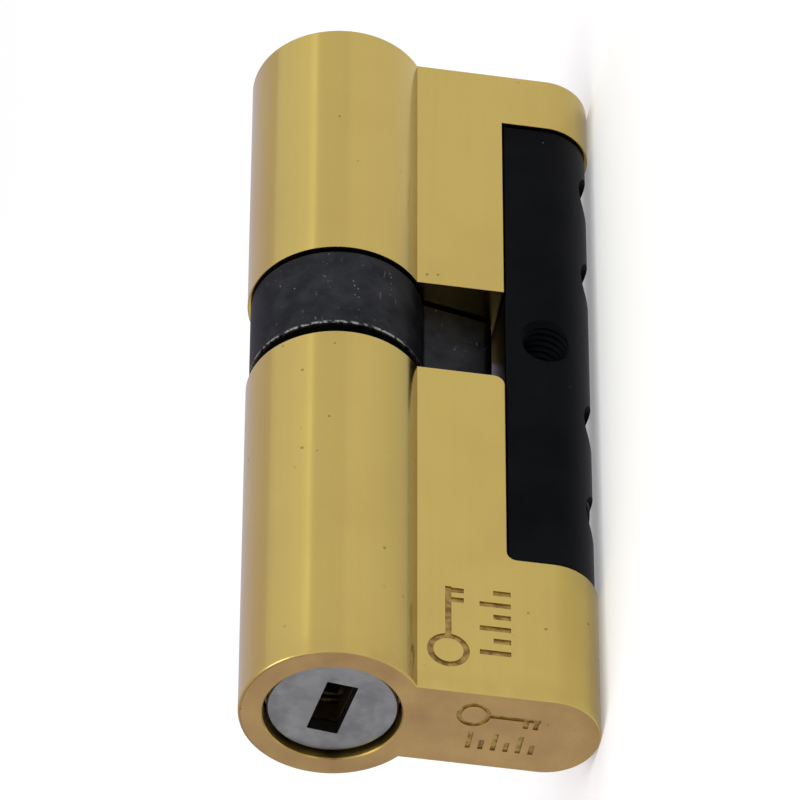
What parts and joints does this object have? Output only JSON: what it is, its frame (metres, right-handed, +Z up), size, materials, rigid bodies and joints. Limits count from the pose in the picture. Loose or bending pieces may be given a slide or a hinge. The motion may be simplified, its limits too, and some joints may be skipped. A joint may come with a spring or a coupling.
{
  "type": "door lock cylinder",
  "caption": "Modular euro-profile double lock cylinder: brass halves joined by a black steel bar, with a turning cam and a keyed plug at each end.",
  "frame": {"origin": "on the plug axis, level with the fixing screw that holds the cylinder in its lock case", "axes": "+Z up, from the leg to the round barrel; +Y along the plug axis from the outer key face to the inner one; +X across the thickness"},
  "size_m": [0.017, 0.08, 0.033],
  "materials": {
    "polished_brass": "polished",
    "disc_brass": "plain machined",
    "satin_black_steel": "satin black coated steel",
    "blackened_cam_steel": "matt blackened sintered steel, worn at its edges",
    "bright_steel": "ground and polished",
    "rotor_steel": "plain machined"
  },
  "bodies": {
    "body": {"outer_housing": "polished_brass", "inner_housing": "polished_brass", "connecting_bar": "satin_black_steel", "bar_screw_1": "satin_black_steel", "bar_screw_2": "satin_black_steel", "bar_screw_3": "satin_black_steel", "bar_screw_4": "satin_black_steel"},
    "outer_plug": {"outer_code_disc_1": "disc_brass", "outer_code_disc_2": "disc_brass", "outer_code_disc_3": "disc_brass", "outer_code_disc_4": "disc_brass", "outer_code_disc_5": "disc_brass", "outer_code_disc_6": "disc_brass", "outer_code_disc_7": "disc_brass", "outer_code_disc_8": "disc_brass", "outer_retaining_ring": "bright_steel", "outer_rotor": "rotor_steel", "outer_shield_disc": "bright_steel", "outer_sidebar": "rotor_steel", "outer_spacer_1": "rotor_steel", "outer_spacer_2": "rotor_steel", "outer_spacer_3": "rotor_steel", "outer_spacer_4": "rotor_steel", "outer_spacer_5": "rotor_steel", "outer_spacer_6": "rotor_steel", "outer_spacer_7": "rotor_steel"},
    "inner_plug": {"inner_code_disc_1": "disc_brass", "inner_code_disc_2": "disc_brass", "inner_code_disc_3": "disc_brass", "inner_code_disc_4": "disc_brass", "inner_code_disc_5": "disc_brass", "inner_code_disc_6": "disc_brass", "inner_retaining_ring": "bright_steel", "inner_rotor": "rotor_steel", "inner_shield_disc": "bright_steel", "inner_sidebar": "rotor_steel", "inner_spacer_1": "rotor_steel", "inner_spacer_2": "rotor_steel", "inner_spacer_3": "rotor_steel", "inner_spacer_4": "rotor_steel", "inner_spacer_5": "rotor_steel"},
    "cam": {"cam": "blackened_cam_steel"},
    "clutch": {"clutch": "rotor_steel"}
  },
  "joints": [
    {"name": "outer_plug_turn", "type": "hinge", "parent": "body", "child": "outer_plug", "pos_m": [0, 0, 0], "axis": [0, 1, 0], "continuous": true},
    {"name": "inner_plug_turn", "type": "hinge", "parent": "body", "child": "inner_plug", "pos_m": [0, 0, 0], "axis": [0, 1, 0], "continuous": true},
    {"name": "cam_turn", "type": "hinge", "parent": "body", "child": "cam", "pos_m": [0, 0, 0], "axis": [0, 1, 0], "continuous": true},
    {"name": "clutch_slide", "type": "slide", "parent": "cam", "child": "clutch", "axis": [0, 1, 0], "range_m": [0, 0.0011]}
  ],
  "couplings": [
    {"joint": "cam_turn", "follows": "outer_plug_turn", "ratio": 1}
  ]
}
